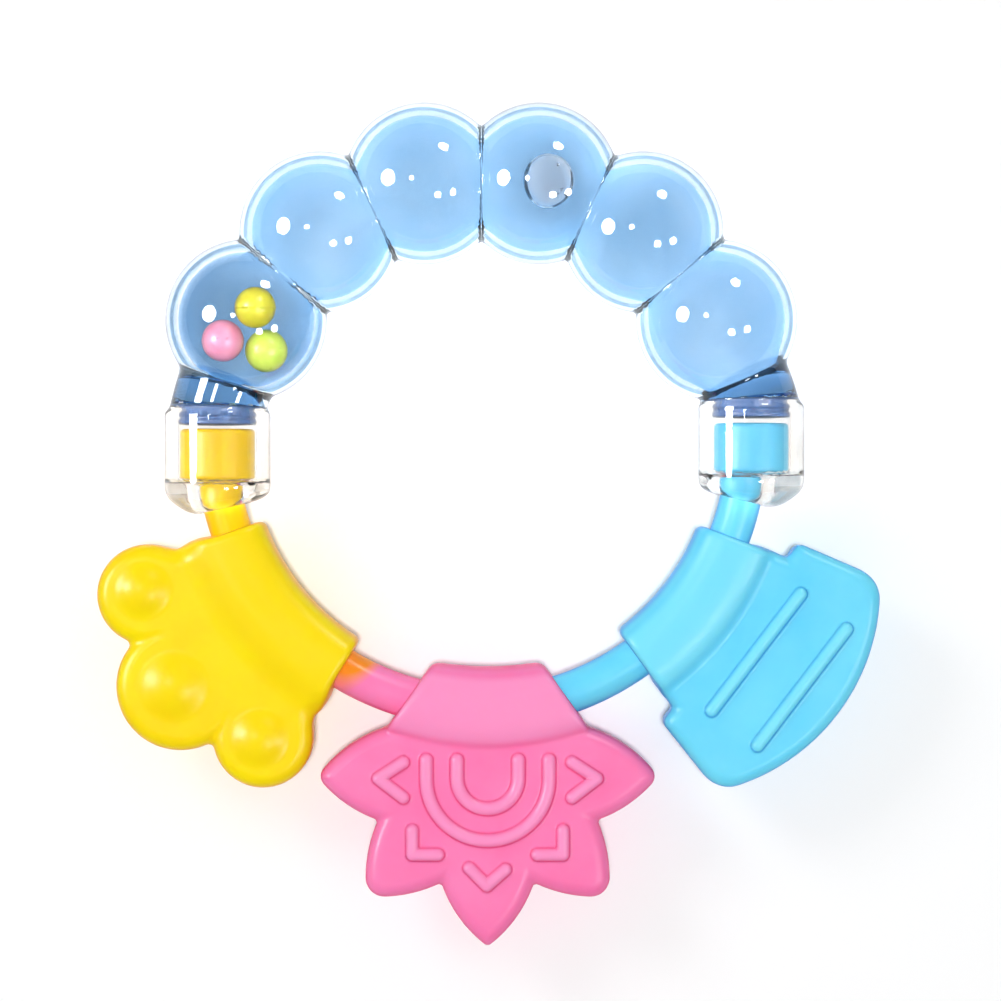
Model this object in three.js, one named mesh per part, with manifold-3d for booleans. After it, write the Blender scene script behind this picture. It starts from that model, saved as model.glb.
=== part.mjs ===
// Teething ring: a clear, liquid-filled beaded handle and a soft strap that carries three chewing shapes.
// The ring lies flat. All dimensions are millimetres, measured from the ring's centre on its middle plane.

import * as THREE from 'three';
import { mergeVertices } from 'three/addons/utils/BufferGeometryUtils.js';
import Module from 'manifold-3d';

const wasm = await Module();
wasm.setup();

// ---------------------------------------------------------------- driving dimensions

const RING_R = 36.15; // the circle that the beads and the strap are strung on
const CLEARANCE = 0.3; // between pieces that fit into one another
const FACET_TOLERANCE = 0.05;

const BEAD_R = 11;
const BEAD_COUNT = 6;
const BEAD_PITCH = 25; // degrees
const BEAD_CAVITY_R = 7;
const PASSAGE_R = 4.2; // between the liquid beads
const THROAT_R = 1.6; // on both sides of the rattle bead, too small for its balls

const LEFT_COLUMN = { side: -1, x: -35.98, lift: 0 }; // sockets stand upright at the ring's two ends
const RIGHT_COLUMN = { side: 1, x: 36.78, lift: 1 };
const NECK_R = 6.6; // clear neck between the end bead and the socket
const SOCKET_R = 7.2;
const SOCKET_TOP = 4.4;
const SOCKET_BOTTOM = -9.4; // on the socket's axis
const SOCKET_TILT = 15; // degrees: its foot is square to the strap
const SOCKET_DOME_R = 9.4; // rounds the foot's rim
const BORE_R = 5.35; // holds the bulkhead and the strap's head
const BORE_TOP = 4.9;
const BORE_BOTTOM = -5.5;
const CHAMBER_R = 4.4; // liquid above the bulkhead
const CHAMBER_TOP = 8;

const BULKHEAD_R = 5.05;
const BULKHEAD_Y = [2.4, 4.6];

const HEAD_R = 5.05;
const LEFT_HEAD_Y = [-5.2, 1.8];
const RIGHT_HEAD_Y = [-5.1, 1.6]; // before the lift
const STRAP_R = 2.85;
const STRAP_GRIP = 4.4; // degrees of strap held inside each sleeve

const RATTLE_R = 2.3;
const RATTLE_PLACES = { yellow_ball: [1.3, 1.2], pink_ball: [-2.35, -2.4], green_ball: [2.28, -3.39] };

const BUBBLE_R = 2.9;
const BUBBLE_BEAD = 3;
const BUBBLE_OFFSET = 1.0;

const PLATE_HALF = 3.5; // half the thickness of a chewing plate
const PLATE_ROUND = 1.6;
const SLEEVE_HALF = 5.0;
const SLEEVE_ROUND = 0.9;

const FLOWER_ANGLE = 219;
const LOTUS_ANGLE = 270;
const LOTUS_SHIFT = 0.85;
const LEAF_ANGLE = -37.4;

// ---------------------------------------------------------------- geometry helpers

const radians = THREE.MathUtils.degToRad;

function onRing(degrees, radius = RING_R) {
  return new THREE.Vector3(radius * Math.cos(radians(degrees)), radius * Math.sin(radians(degrees)), 0);
}

// A closed solid from a geometry, ready for booleans.
function solid(geometry) {
  const bare = geometry.index ? geometry.toNonIndexed() : geometry.clone();
  bare.deleteAttribute('normal');
  bare.deleteAttribute('uv');
  const merged = mergeVertices(bare, 1e-5);
  return new wasm.Manifold(new wasm.Mesh({
    numProp: 3,
    vertProperties: new Float32Array(merged.attributes.position.array),
    triVerts: new Uint32Array(merged.index.array),
  }));
}

function join(parts) {
  return parts.reduce((whole, part) => whole.add(part));
}

// An oval of points round a centre: one half-axis along side, the other along Z.
function oval(centre, side, halfWidth, halfHeight, count) {
  const points = [];
  for (let i = 0; i < count; i += 1) {
    const turn = (2 * Math.PI * i) / count;
    const point = centre.clone().addScaledVector(side, halfWidth * Math.cos(turn));
    point.z += halfHeight * Math.sin(turn);
    points.push(point);
  }
  return points;
}

// A closed solid through a row of ovals, capped flat at both ends.
function loft(ovals) {
  const count = ovals[0].length;
  const points = ovals.flat();
  const faces = [];
  for (let row = 0; row < ovals.length - 1; row += 1) {
    for (let i = 0; i < count; i += 1) {
      const next = (i + 1) % count;
      const a = row * count + i;
      const b = row * count + next;
      const c = a + count;
      const d = b + count;
      faces.push([a, b, d], [a, d, c]);
    }
  }
  for (const row of [0, ovals.length - 1]) {
    const middle = new THREE.Vector3();
    ovals[row].forEach((point) => middle.addScaledVector(point, 1 / count));
    const hub = points.push(middle) - 1;
    for (let i = 0; i < count; i += 1) {
      const a = row * count + i;
      const b = row * count + ((i + 1) % count);
      faces.push(row === 0 ? [hub, b, a] : [hub, a, b]);
    }
  }
  let volume = 0;
  for (const [a, b, c] of faces) {
    volume += points[a].dot(new THREE.Vector3().crossVectors(points[b], points[c]));
  }
  if (volume < 0) {
    faces.forEach((face) => face.reverse());
  }
  const geometry = new THREE.BufferGeometry();
  geometry.setAttribute('position', new THREE.Float32BufferAttribute(points.flatMap((p) => [p.x, p.y, p.z]), 3));
  geometry.setIndex(faces.flat());
  return solid(geometry);
}

// A round piece turned about a line parallel to Y, through stations [y, radius].
function turned(x, stations, count = 28) {
  const side = new THREE.Vector3(1, 0, 0);
  return loft(stations.map(([y, radius]) => oval(new THREE.Vector3(x, y, 0), side, radius, radius, count)));
}

function rod(from, to, radius, count = 20) {
  const along = new THREE.Vector3().subVectors(to, from).normalize();
  const side = new THREE.Vector3(-along.y, along.x, 0);
  return loft([from, to].map((end) => oval(end, side, radius, radius, count)));
}

function sphere(centre, radius, around, along) {
  return solid(new THREE.SphereGeometry(radius, around, along).translate(centre.x, centre.y, centre.z));
}

// A length of strap along the ring's circle.
function strap(fromDegrees, toDegrees, radius) {
  const steps = Math.max(2, Math.round(Math.abs(toDegrees - fromDegrees) / 4));
  const ovals = [];
  for (let i = 0; i <= steps; i += 1) {
    const turn = fromDegrees + ((toDegrees - fromDegrees) * i) / steps;
    ovals.push(oval(onRing(turn), onRing(turn, 1), radius, radius, 20));
  }
  return loft(ovals);
}

// ---------------------------------------------------------------- handle

const beadTurns = [];
for (let i = 0; i < BEAD_COUNT; i += 1) {
  beadTurns.push(90 + BEAD_PITCH * ((BEAD_COUNT - 1) / 2 - i));
}
const beadCentres = beadTurns.map((turn) => onRing(turn));
const rattleBead = beadCentres[0];
const lastBead = beadCentres[BEAD_COUNT - 1];

// A socket's outside: an upright collar with a rounded, tilted foot, and a neck that leans to the end bead.
function socket({ side, x, lift }, bead) {
  const collar = turned(x, [
    [SOCKET_BOTTOM - 4 + lift, SOCKET_R],
    [SOCKET_TOP - 0.4 + lift, SOCKET_R],
    [SOCKET_TOP + lift, SOCKET_R - 0.4],
  ]);
  const dome = sphere(new THREE.Vector3(x, lift - 1, 0), SOCKET_DOME_R, 32, 18);
  const foot = solid(new THREE.BoxGeometry(40, 40, 40)
    .translate(0, 20, 0)
    .rotateZ(-side * radians(SOCKET_TILT))
    .translate(x, SOCKET_BOTTOM + lift, 0));
  const top = solid(new THREE.BoxGeometry(40, 20, 40).translate(x, lift + 10, 0));
  const along = new THREE.Vector3(x, SOCKET_TOP + lift, 0).sub(bead).normalize();
  const neckOvals = [
    oval(bead, new THREE.Vector3(-along.y, along.x, 0), NECK_R, NECK_R, 28),
    oval(new THREE.Vector3(x, SOCKET_TOP - 0.6 + lift, 0), new THREE.Vector3(1, 0, 0), NECK_R, NECK_R, 28),
  ];
  return collar.intersect(dome.add(top)).intersect(foot).add(loft(neckOvals));
}

function outerBody() {
  const beads = beadCentres.map((centre) => sphere(centre, BEAD_R, 28, 14));
  return join([...beads, socket(LEFT_COLUMN, rattleBead), socket(RIGHT_COLUMN, lastBead)]);
}

// The liquid's space, shrunk by a gap on every wall.
function chamber(gap) {
  const beads = beadCentres.map((centre) => sphere(centre, BEAD_CAVITY_R - gap, 16, 10));
  const passages = [];
  for (let i = 0; i < BEAD_COUNT - 1; i += 1) {
    const radius = i === 0 ? THROAT_R : PASSAGE_R;
    passages.push(rod(beadCentres[i], beadCentres[i + 1], radius - gap, 12));
  }
  const ends = [LEFT_COLUMN, RIGHT_COLUMN].map(({ x, lift }) => turned(x, [
    [BORE_TOP + lift + (gap > 0 ? 0 : -0.5), CHAMBER_R - gap],
    [CHAMBER_TOP + lift - gap, CHAMBER_R - gap],
  ], 16));
  const foot = ({ x, lift }) => new THREE.Vector3(x, CHAMBER_TOP + lift - CHAMBER_R / 4, 0);
  const leftThroat = rod(rattleBead, foot(LEFT_COLUMN), THROAT_R - gap, 12);
  const rightThroat = rod(lastBead, foot(RIGHT_COLUMN), PASSAGE_R - gap, 12);
  return join([...beads, ...passages, ...ends, leftThroat, rightThroat]);
}

const bores = [LEFT_COLUMN, RIGHT_COLUMN].map(({ side, x, lift }) => {
  const bore = turned(x, [[BORE_BOTTOM + lift, BORE_R], [BORE_TOP + lift, BORE_R]]);
  const [from, to] = side < 0 ? [184, 204] : [-4, -24];
  return bore.add(strap(from, to, STRAP_R + CLEARANCE));
});

const shell = outerBody().subtract(chamber(0)).subtract(join(bores));
const frontHalf = solid(new THREE.BoxGeometry(240, 240, 40).translate(0, 0, 20));
const rearHalf = solid(new THREE.BoxGeometry(240, 240, 40).translate(0, 0, -20));

function bulkhead({ x, lift }) {
  const [low, high] = BULKHEAD_Y;
  return turned(x, [[low + lift, BULKHEAD_R], [high + lift, BULKHEAD_R]], 28);
}

// ---------------------------------------------------------------- rattle balls and liquid

// Each ball floats up against the rounded top of its bead.
function rattlePlace([x, y]) {
  const reach = BEAD_CAVITY_R - RATTLE_R - CLEARANCE;
  const rise = Math.sqrt(reach * reach - x * x - y * y);
  return new THREE.Vector3(rattleBead.x + x, rattleBead.y + y, rise);
}

// The space that a ball needs as it rises and falls.
function rattleTrack(place) {
  const high = rattlePlace(place);
  const low = high.clone().setZ(-high.z);
  const radius = RATTLE_R + CLEARANCE;
  const shaft = solid(new THREE.CylinderGeometry(radius, radius, 2 * high.z, 12)
    .rotateX(Math.PI / 2)
    .translate(low.x, low.y, 0));
  return join([shaft, sphere(low, radius, 12, 6), sphere(high, radius, 12, 6)]);
}

function liquid() {
  const bubbleCentre = beadCentres[BUBBLE_BEAD].clone();
  bubbleCentre.x += BUBBLE_OFFSET;
  bubbleCentre.z = BEAD_CAVITY_R - BUBBLE_R + 0.1;
  const bubble = sphere(bubbleCentre, BUBBLE_R, 12, 8);
  const tracks = Object.values(RATTLE_PLACES).map(rattleTrack);
  return chamber(CLEARANCE).subtract(join([bubble, ...tracks]));
}

// ---------------------------------------------------------------- strap pieces

function neck({ side, x, lift }, headSpan) {
  const [low, high] = headSpan.map((y) => y + lift);
  const head = turned(x, [
    [low, HEAD_R - 0.7],
    [low + 0.7, HEAD_R],
    [high - 0.7, HEAD_R],
    [high, HEAD_R - 0.7],
  ]);
  const [from, to] = side < 0 ? [184, 199.4 + STRAP_GRIP] : [-4, -20.7 - STRAP_GRIP];
  return head.add(strap(from, to, STRAP_R));
}

// ---------------------------------------------------------------- chewing shapes
// Each one is drawn in its own frame: Y points outwards from the ring's centre, X runs along the strap.

// A soft sleeve round the strap: ovals on rays that fan out from a point at height apex.
function sleeve({ apex, halfFan, inner, outer }) {
  const ovals = [];
  const turns = [];
  const steps = 6;
  for (let i = 0; i <= steps; i += 1) {
    turns.push([halfFan * (1 - (2 * i) / steps), 0]);
  }
  const tip = (SLEEVE_ROUND / (inner(0) - apex)) * (180 / Math.PI);
  turns[0][0] -= 0.8 * tip;
  turns[steps][0] += 0.8 * tip;
  turns.unshift([halfFan - 0.25 * tip, 0.3 * SLEEVE_ROUND]);
  turns.unshift([halfFan, SLEEVE_ROUND]);
  turns.push([0.25 * tip - halfFan, 0.3 * SLEEVE_ROUND]);
  turns.push([-halfFan, SLEEVE_ROUND]);
  for (const [turn, shrink] of turns) {
    const side = new THREE.Vector3(Math.sin(radians(turn)), Math.cos(radians(turn)), 0);
    const near = inner(turn) - apex;
    const far = outer(turn) - apex;
    const centre = side.clone().multiplyScalar((near + far) / 2);
    centre.y += apex;
    ovals.push(oval(centre, side, (far - near) / 2 - shrink, SLEEVE_HALF - shrink, 20));
  }
  return loft(ovals);
}

// A flat plate with rounded rims, from a closed outline.
function plate(outline) {
  const geometry = new THREE.ExtrudeGeometry(outline, {
    depth: 2 * (PLATE_HALF - PLATE_ROUND),
    bevelThickness: PLATE_ROUND,
    bevelSize: PLATE_ROUND,
    bevelOffset: -PLATE_ROUND,
    bevelSegments: 2,
    curveSegments: 5,
    steps: 1,
  });
  return solid(geometry.translate(0, 0, -(PLATE_HALF - PLATE_ROUND)));
}

// A raised rib with round ends along a line of points on the front face.
function rib(points, radius) {
  const parts = [];
  for (let i = 0; i < points.length - 1; i += 1) {
    const from = new THREE.Vector3(points[i][0], points[i][1], PLATE_HALF);
    const to = new THREE.Vector3(points[i + 1][0], points[i + 1][1], PLATE_HALF);
    parts.push(rod(from, to, radius, 8), sphere(from, radius, 8, 4));
    if (i === points.length - 2) {
      parts.push(sphere(to, radius, 8, 4));
    }
  }
  return join(parts);
}

function dome(x, y, radius, height) {
  const shape = new THREE.SphereGeometry(radius, 16, 8);
  return solid(shape.scale(1, 1, height / radius).translate(x, y, PLATE_HALF - 0.2));
}

// Turns a chewing shape from its own frame to its place on the ring.
function onStrap(shape, angle, shift = 0) {
  return shape.rotate([0, 0, angle - 90]).translate([shift, 0, 0]);
}

function flower() {
  const lobes = [
    { x: -12.5, y: 48.3, radius: 6.87, bump: 3.8 },
    { x: 0, y: 52.6, radius: 8.74, bump: 4.5 },
    { x: 12.5, y: 48.3, radius: 6.87, bump: 3.8 },
  ];
  const parts = lobes.map(({ x, y, radius }) => {
    const outline = new THREE.Shape();
    for (let i = 0; i < 28; i += 1) {
      const turn = (2 * Math.PI * i) / 28;
      const point = [x + radius * Math.cos(turn), y + radius * Math.sin(turn)];
      if (i === 0) {
        outline.moveTo(...point);
      } else {
        outline.lineTo(...point);
      }
    }
    return plate(outline);
  });
  const web = new THREE.Shape();
  web.moveTo(-11.5, 36);
  web.lineTo(-14.1, 44);
  web.lineTo(-10.5, 50);
  web.lineTo(-6, 56);
  web.lineTo(6, 56);
  web.lineTo(10.5, 50);
  web.lineTo(14.1, 44);
  web.lineTo(11.5, 36);
  parts.push(plate(web));
  for (const { x, y, bump } of lobes) {
    parts.push(dome(x, y, bump, 1.7));
  }
  parts.push(sleeve({ apex: 0, halfFan: 19.5, inner: () => 31.4, outer: () => 41.4 }));
  return onStrap(join(parts), FLOWER_ANGLE);
}

function lotusOutline() {
  const outline = new THREE.Shape();
  const half = (side) => ({
    sideTip: [side * 22.65, 45.5],
    upperNotch: [side * 14.4, 51.9],
    lowerTip: [side * 16.05, 61.6],
    lowerNotch: [side * 6.1, 60.6],
  });
  const right = half(1);
  const left = half(-1);
  outline.moveTo(12.0, 36);
  outline.quadraticCurveTo(19.5, 38.2, ...right.sideTip);
  outline.quadraticCurveTo(20.8, 50.6, ...right.upperNotch);
  outline.quadraticCurveTo(18.6, 55.4, ...right.lowerTip);
  outline.quadraticCurveTo(11.2, 63.2, ...right.lowerNotch);
  outline.quadraticCurveTo(5.6, 65.4, 0, 68.5);
  outline.quadraticCurveTo(-5.6, 65.4, ...left.lowerNotch);
  outline.quadraticCurveTo(-11.2, 63.2, ...left.lowerTip);
  outline.quadraticCurveTo(-18.6, 55.4, ...left.upperNotch);
  outline.quadraticCurveTo(-20.8, 50.6, ...left.sideTip);
  outline.quadraticCurveTo(-19.5, 38.2, -12.0, 36);
  outline.closePath();
  return outline;
}

// A smile-shaped arch: two arms joined by a half circle.
function arch(halfWidth, top, bottom) {
  const points = [[-halfWidth, top]];
  const middle = bottom - halfWidth;
  for (let i = 0; i <= 5; i += 1) {
    const turn = Math.PI + (Math.PI * i) / 5;
    points.push([halfWidth * Math.cos(turn), middle - halfWidth * Math.sin(turn)]);
  }
  points.push([halfWidth, top]);
  return points;
}

function lotus() {
  const parts = [plate(lotusOutline())];
  const radius = 0.68;
  parts.push(rib(arch(8.35, 43.3, 54.4), radius));
  parts.push(rib(arch(4.1, 43.3, 50.0), radius));
  parts.push(rib([[-2.5, 57.9], [0, 60.2], [2.5, 57.9]], radius));
  for (const side of [-1, 1]) {
    parts.push(rib([[side * 12.0, 43.8], [side * 15.0, 46.1], [side * 11.9, 48.8]], radius));
    parts.push(rib([[side * 10.3, 53.0], [side * 10.3, 56.3], [side * 6.7, 56.3]], radius));
  }
  parts.push(sleeve({
    apex: 19.5,
    halfFan: 35.5,
    inner: (turn) => 19.5 + 10.4 / Math.cos(radians(turn)),
    outer: (turn) => 41.6 + 2.7 * (turn / 35.5) ** 2,
  }));
  return onStrap(join(parts), LOTUS_ANGLE, LOTUS_SHIFT);
}

function leafOutline() {
  const outline = new THREE.Shape();
  outline.moveTo(-10.2, 37);
  outline.lineTo(-12.6, 42.0);
  outline.lineTo(-15.6, 43.1);
  outline.lineTo(-17.8, 51.6);
  outline.quadraticCurveTo(-18.4, 54.2, -16.4, 55.6);
  outline.quadraticCurveTo(-8.8, 60.9, 0, 60.9);
  outline.quadraticCurveTo(8.8, 60.9, 16.4, 55.6);
  outline.quadraticCurveTo(18.4, 54.2, 17.8, 51.6);
  outline.lineTo(15.6, 43.1);
  outline.lineTo(12.6, 42.0);
  outline.lineTo(10.2, 37);
  outline.closePath();
  return outline;
}

function leaf() {
  const parts = [plate(leafOutline())];
  for (const height of [47.1, 55.0]) {
    parts.push(rib([[-10.1, height], [10.1, height]], 0.78));
  }
  parts.push(sleeve({ apex: 0, halfFan: 16.7, inner: () => 31.5, outer: () => 42.4 }));
  return onStrap(join(parts), LEAF_ANGLE);
}

// ---------------------------------------------------------------- assembly

const ring = new THREE.Group();
ring.name = 'teething_ring';

const clear = { color: 0xf4f6fb, roughness: 0.08, metalness: 0 };
const water = { color: 0x5cacf2, roughness: 0.1, metalness: 0 };
const yellow = { color: 0xffdc00, roughness: 0.45, metalness: 0 };
const pink = { color: 0xff86bb, roughness: 0.45, metalness: 0 };
const sky = { color: 0x74d6ff, roughness: 0.45, metalness: 0 };
const smoke = { color: 0xc9d3e2, roughness: 0.2, metalness: 0 };

function add(name, shape, material) {
  const mesh = shape.simplify(FACET_TOLERANCE).getMesh();
  const geometry = new THREE.BufferGeometry();
  geometry.setAttribute('position', new THREE.BufferAttribute(new Float32Array(mesh.vertProperties), 3));
  geometry.setIndex(new THREE.BufferAttribute(new Uint32Array(mesh.triVerts), 1));
  geometry.computeVertexNormals();
  const node = new THREE.Mesh(geometry, new THREE.MeshStandardMaterial(material));
  node.name = name;
  ring.add(node);
}

add('front_shell', shell.intersect(frontHalf), clear);
add('rear_shell', shell.intersect(rearHalf), clear);
add('left_bulkhead', bulkhead(LEFT_COLUMN), smoke);
add('right_bulkhead', bulkhead(RIGHT_COLUMN), smoke);
add('blue_water', liquid(), water);

const ballColours = {
  yellow_ball: { ...yellow, color: 0xd9cf3a },
  pink_ball: { ...pink, color: 0xff7f9e },
  green_ball: { ...yellow, color: 0xbfe85a },
};
for (const [name, place] of Object.entries(RATTLE_PLACES)) {
  add(name, sphere(rattlePlace(place), RATTLE_R, 12, 8), ballColours[name]);
}

// The strap runs into a blind hole in each end of a chewing shape.
const grip = STRAP_GRIP + 0.5;
const yellowGrip = join([strap(198, 199.4 + grip, STRAP_R + CLEARANCE), strap(238.5 - grip, 240, STRAP_R + CLEARANCE)]);
const pinkGrip = join([strap(250, 254.6 + grip, STRAP_R + CLEARANCE), strap(288.2 - grip, 292, STRAP_R + CLEARANCE)]);
const blueGrip = join([strap(303, 305.9 + grip, STRAP_R + CLEARANCE), strap(-20.7 - grip, -19, STRAP_R + CLEARANCE)]);

add('left_neck', neck(LEFT_COLUMN, LEFT_HEAD_Y), yellow);
add('yellow_teether', flower().subtract(yellowGrip), yellow);
add('pink_link', strap(238.5 - STRAP_GRIP, 254.6 + STRAP_GRIP, STRAP_R), pink);
add('pink_teether', lotus().subtract(pinkGrip), pink);
add('blue_link', strap(288.2 - STRAP_GRIP, 305.9 + STRAP_GRIP, STRAP_R), sky);
add('blue_teether', leaf().subtract(blueGrip), sky);
add('right_neck', neck(RIGHT_COLUMN, RIGHT_HEAD_Y), sky);

// The row's origin is below the middle of the ring, level with the bottom of the beads.
const extent = new THREE.Box3().setFromObject(ring);
const middle = extent.getCenter(new THREE.Vector3());
for (const node of ring.children) {
  node.geometry.translate(-middle.x, -middle.y, BEAD_R);
}

export default ring;
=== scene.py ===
"""Teething ring: smooth moulded surfaces, clear plastic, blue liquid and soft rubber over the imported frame.

Every shape is a distance function in millimetres about the ring's centre, and is meshed on its zero level.
"""

import math

import bpy
import numpy as np
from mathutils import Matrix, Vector


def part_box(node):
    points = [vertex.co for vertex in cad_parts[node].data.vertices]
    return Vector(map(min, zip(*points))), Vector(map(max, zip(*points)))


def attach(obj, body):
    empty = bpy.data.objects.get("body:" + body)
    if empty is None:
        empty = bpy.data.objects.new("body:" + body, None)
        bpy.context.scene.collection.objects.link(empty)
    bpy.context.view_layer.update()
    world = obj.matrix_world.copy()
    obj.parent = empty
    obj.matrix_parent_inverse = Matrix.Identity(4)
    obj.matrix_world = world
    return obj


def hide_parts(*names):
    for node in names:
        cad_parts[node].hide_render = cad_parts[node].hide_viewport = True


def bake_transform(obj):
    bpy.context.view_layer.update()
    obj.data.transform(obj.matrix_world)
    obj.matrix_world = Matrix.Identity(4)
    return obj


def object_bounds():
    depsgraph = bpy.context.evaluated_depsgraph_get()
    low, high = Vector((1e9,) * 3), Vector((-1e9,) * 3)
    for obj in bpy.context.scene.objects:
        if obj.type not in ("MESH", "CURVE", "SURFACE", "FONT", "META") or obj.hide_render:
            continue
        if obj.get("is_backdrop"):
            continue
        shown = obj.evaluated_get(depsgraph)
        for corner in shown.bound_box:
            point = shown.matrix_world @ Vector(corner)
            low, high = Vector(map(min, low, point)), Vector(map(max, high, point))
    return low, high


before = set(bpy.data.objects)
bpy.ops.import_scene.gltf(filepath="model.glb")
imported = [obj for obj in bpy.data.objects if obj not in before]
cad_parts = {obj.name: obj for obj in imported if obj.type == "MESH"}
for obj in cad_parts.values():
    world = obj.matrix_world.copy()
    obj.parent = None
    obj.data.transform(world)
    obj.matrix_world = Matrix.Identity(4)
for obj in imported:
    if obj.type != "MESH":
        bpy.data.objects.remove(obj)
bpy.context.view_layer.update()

# ------------------------------------------------------------------ dimensions, in millimetres and degrees

MM = 0.001
RING_R = 36.15
BEAD_R = 11.0
BEAD_COUNT = 6
BEAD_PITCH = 25.0
CREASE = 0.5

# The liquid's space. A narrow throat keeps the rattle balls in the first bead.
CAVITY_R = 7.0
PASSAGE_R = 4.2
PASSAGE_SOFT = 1.2
THROAT_R = 1.6
THROAT_SOFT = 0.6
CHAMBER_R = 4.4
CHAMBER_TOP = 8.0

# The sockets at the handle's ends: where each stands across the ring, and how much higher than the left one.
COLUMNS = {"left": (-35.98, 0.0), "right": (36.78, 1.0)}
NECK_R = 6.6
NECK_DEPTH = 3.0
SOCKET_R = 7.2
SOCKET_TOP = 4.4
SOCKET_BOTTOM = -9.4
SOCKET_TILT = 15.0
SOCKET_DOME_R = 9.4
SOCKET_EDGE = 0.7
BORE_R = 5.35
BORE_Y = (-5.5, 4.9)
BORE_SLACK = 0.25
BORE_ARCS = {"left": (182, 202), "right": (-22, -2)}
DISC_Y = (2.4, 4.87)
DISC_GAP = 0.04
GROOVE_Y = 3.3

# The strap, as arcs of the ring: its two ends, and the two links that are seen between the chewing shapes.
STRAP_R = 2.85
HEAD_R = 5.08
END_ARCS = {"left": (183, 203.3), "right": (-24.6, -3)}
HEAD_Y = {"left": (-5.2, 1.8), "right": (-4.2, 2.6)}
MOUTH_Y = {"left": -9.2, "right": -8.2}
PINK_ARC = (234.6, 258.5)
BLUE_ARC = (284.3, 309.8)
GRIP_ARCS = ((196, 203.5), (234.4, 258.7), (284.1, 310), (335.2, 343))
GRIP_SLACK = 0.03

# The chewing shapes: flat plates with raised ribs, each on a sleeve round the strap.
PLATE_HALF = 3.5
SLEEVE_HALF = 5.0
RIB_RISE = 0.1
RIB_R = 0.92
LEAF_RIB_R = 0.95
ARCH_R = 0.98
RIB_SOFT = 0.35
BUMP_RISE = 1.15

RATTLE_R = 2.3
RATTLE_GAP = 0.3
RATTLES = {"yellow": (1.3, 1.2), "pink": (-2.35, -2.4), "green": (2.28, -3.39)}

WATER_INDEX = 1.33
PLASTIC_INDEX = 1.49

# Mesh cell sizes.
FINE = 1.0
SHELL_CELL = 0.6
LIQUID_CELL = 0.5
STRAP_CELL = 0.4
END_CELL = 0.38
CHEW_CELL = 0.34
DISC_CELL = 0.3
RATTLE_CELL = 0.22


def on_ring(degrees, radius=RING_R):
    turn = math.radians(degrees)
    return np.array([radius * math.cos(turn), radius * math.sin(turn), 0.0])


BEAD_TURNS = [90 + BEAD_PITCH * ((BEAD_COUNT - 1) / 2 - i) for i in range(BEAD_COUNT)]
BEADS = [on_ring(turn) for turn in BEAD_TURNS]

LOTUS_SHIFT = 0.85
shell_low, shell_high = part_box("front_shell")
lotus_low, lotus_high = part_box("pink_teether")
CENTRE = np.array([
    (lotus_low.x + lotus_high.x) / 2 - LOTUS_SHIFT * MM,
    shell_high.y - (BEADS[2][1] + BEAD_R) * MM,
    shell_low.z,
])


def to_row(points):
    return np.asarray(points, float) * MM + CENTRE


# ------------------------------------------------------------------ distance functions


def length(*parts):
    return np.sqrt(sum(part * part for part in parts))


def union(a, b, soft=0.0):
    if soft <= 0:
        return np.minimum(a, b)
    near = np.clip(soft - np.abs(a - b), 0, None) / soft
    return np.minimum(a, b) - near * near * soft / 4


def overlap(a, b, soft=0.0):
    return -union(-a, -b, soft)


def cut(a, b, soft=0.0):
    return -union(-a, b, soft)


def ball(p, centre, radius):
    return length(p[:, 0] - centre[0], p[:, 1] - centre[1], p[:, 2] - centre[2]) - radius


def rounded(across, along, edge):
    """Joins a distance across and a distance along into one solid with rounded rims."""
    a, b = across + edge, along + edge
    outside = length(np.clip(a, 0, None), np.clip(b, 0, None))
    return outside + np.minimum(np.maximum(a, b), 0) - edge


def column(p, x, low, high, radius, edge):
    across = length(p[:, 0] - x, p[:, 2]) - radius
    along = np.abs(p[:, 1] - (low + high) / 2) - (high - low) / 2
    return rounded(across, along, edge)


def capsule(p, start, end, radius):
    start, end = np.asarray(start, float), np.asarray(end, float)
    line = end - start
    share = np.clip((p - start) @ line / (line @ line), 0, 1)
    rest = p - start - share[:, None] * line
    return np.sqrt((rest * rest).sum(1)) - radius


def strap(p, low, high, radius):
    """A round strap along the ring's circle, from one angle to another, in degrees."""
    middle, half = math.radians((low + high) / 2), math.radians((high - low) / 2)
    turn = np.arctan2(p[:, 1], p[:, 0]) - middle
    turn = (turn + math.pi) % (2 * math.pi) - math.pi
    turn = np.clip(turn, -half, half) + middle
    return length(p[:, 0] - RING_R * np.cos(turn), p[:, 1] - RING_R * np.sin(turn), p[:, 2]) - radius


def oval(across, height, half_width, half_height, power=2.8):
    """A flattened oval, between an ellipse and a rectangle."""
    a, b = np.abs(across) / half_width, np.abs(height) / half_height
    near = np.maximum((a**power + b**power) ** (1 / power), 1e-3)
    slope = length((a / near) ** (power - 1) / half_width, (b / near) ** (power - 1) / half_height)
    return (near - 1) / np.maximum(slope, 0.05)


# ------------------------------------------------------------------ meshing


def slopes(distance, points, step=0.02):
    """The direction in which a distance grows fastest at each point, unit length."""
    grown = np.empty_like(points)
    for axis in range(3):
        shift = np.zeros(3)
        shift[axis] = step
        grown[:, axis] = distance(points + shift) - distance(points - shift)
    size = np.sqrt((grown * grown).sum(1))
    return grown / np.maximum(size, 1e-12)[:, None], size / (2 * step)


def settle(distance, points, reach, rounds=4, flat=None):
    """Moves points onto the zero level. Those in flat stay on the middle plane."""
    points = points.copy()
    for _ in range(rounds):
        way, slope = slopes(distance, points)
        if flat is not None:
            way[flat, 2] = 0
            size = np.sqrt((way[flat] ** 2).sum(1))
            way[flat] /= np.maximum(size, 1e-6)[:, None]
            slope[flat] = slope[flat] * size
        move = distance(points) / np.clip(slope, 0.2, None)
        points -= np.clip(move, -reach, reach)[:, None] * way
    return points


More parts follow.
